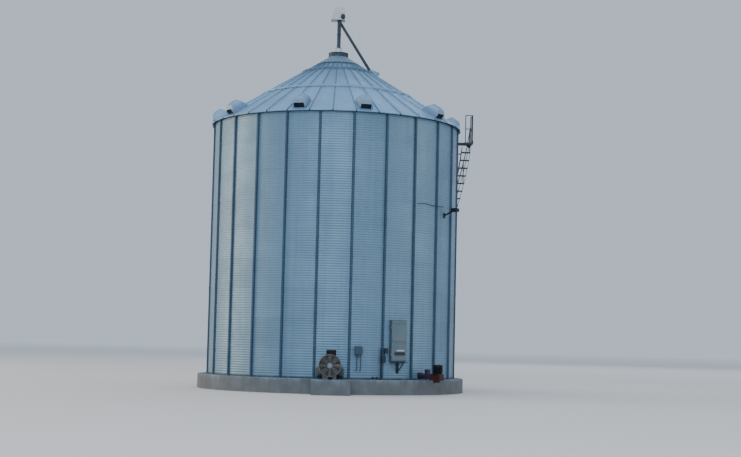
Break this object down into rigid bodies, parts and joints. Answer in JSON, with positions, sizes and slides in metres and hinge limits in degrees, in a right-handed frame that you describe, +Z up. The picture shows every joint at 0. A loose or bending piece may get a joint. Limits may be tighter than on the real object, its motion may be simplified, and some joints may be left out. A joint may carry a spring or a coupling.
{
  "type": "grain silo",
  "caption": "Round corrugated steel grain silo with outside stiffeners, ribbed cone roof with vents, fill head, hinged door, aeration fan, stair and platform, on a concrete base.",
  "frame": {"origin": "on the silo's axis, at the underside of the foundation", "axes": "+Z up along the silo's axis; the fan faces -Y; +X is the side with the platform"},
  "size_m": [12.1999, 13.4695, 17.43],
  "materials": {
    "concrete": "cast concrete, weathered",
    "wall_sheet": "galvanised corrugated sheet, dulled",
    "stiffener_steel": "galvanised rolled section, darker zinc",
    "roof_sheet": "galvanised ribbed sheet",
    "galvanised_fitting": "galvanised",
    "dark_steel": "dark paint, worn",
    "grey_paint": "light grey paint",
    "fan_paint": "grey paint over steel",
    "red_paint": "dull red paint, rusted",
    "stair_steel": "galvanised, dulled"
  },
  "bodies": {
    "silo": {"foundation": "concrete", "fan_pad": "concrete", "stair_base": "concrete", "wall_left_of_duct": "wall_sheet", "wall_right_of_duct": "wall_sheet", "wall_over_duct": "wall_sheet", "wall_under_duct": "wall_sheet", "wall_left_of_door": "wall_sheet", "wall_right_of_door": "wall_sheet", "wall_over_door": "wall_sheet", "wall_under_door": "wall_sheet", "wall_right": "wall_sheet", "wall_back_right": "wall_sheet", "wall_back_left": "wall_sheet", "wall_left": "wall_sheet", "stiffeners_front_right": "stiffener_steel", "stiffeners_right": "stiffener_steel", "stiffeners_back_right": "stiffener_steel", "stiffeners_back_left": "stiffener_steel", "stiffeners_left": "stiffener_steel", "stiffeners_front_left": "stiffener_steel", "roof_front_right": "roof_sheet", "roof_right": "roof_sheet", "roof_back_right": "roof_sheet", "roof_back_left": "roof_sheet", "roof_left": "roof_sheet", "roof_front_left": "roof_sheet", "peak_collar": "galvanised_fitting", "peak_flashing": "roof_sheet", "roof_ring_upper": "roof_sheet", "roof_ring_lower": "roof_sheet", "peak_cap": "dark_steel", "peak_neck": "galvanised_fitting", "drop_tube": "dark_steel", "fill_head": "grey_paint", "fill_head_motor": "dark_steel", "side_spout": "dark_steel", "roof_inlet": "dark_steel", "door_frame": "galvanised_fitting", "door_step": "dark_steel", "fan_housing": "fan_paint", "fan_guard": "galvanised_fitting", "fan_duct": "fan_paint", "control_box": "grey_paint", "sensor_pipe": "dark_steel", "unload_tube": "red_paint", "unload_gearbox": "red_paint", "unload_motor": "dark_steel", "wall_lamp": "dark_steel", "stair_flight": "stair_steel", "stair_rail": "stair_steel", "platform": "stair_steel", "platform_rail": "stair_steel", "aeration_floor": "galvanised_fitting", "floor_supports": "galvanised_fitting"},
    "door": {"door_leaf": "galvanised_fitting"},
    "rotor": {"fan_rotor": "dark_steel"}
  },
  "joints": [
    {"name": "door_hinge", "type": "hinge", "parent": "silo", "child": "door", "pos_m": [2.45625, -5.03435, 2.2], "axis": [0, 0, -1], "range_deg": [0, 110]},
    {"name": "fan_shaft", "type": "hinge", "parent": "silo", "child": "rotor", "pos_m": [-0.06792, -6.48564, 1.19], "axis": [-0.0105, -0.9999, 0], "continuous": true}
  ]
}
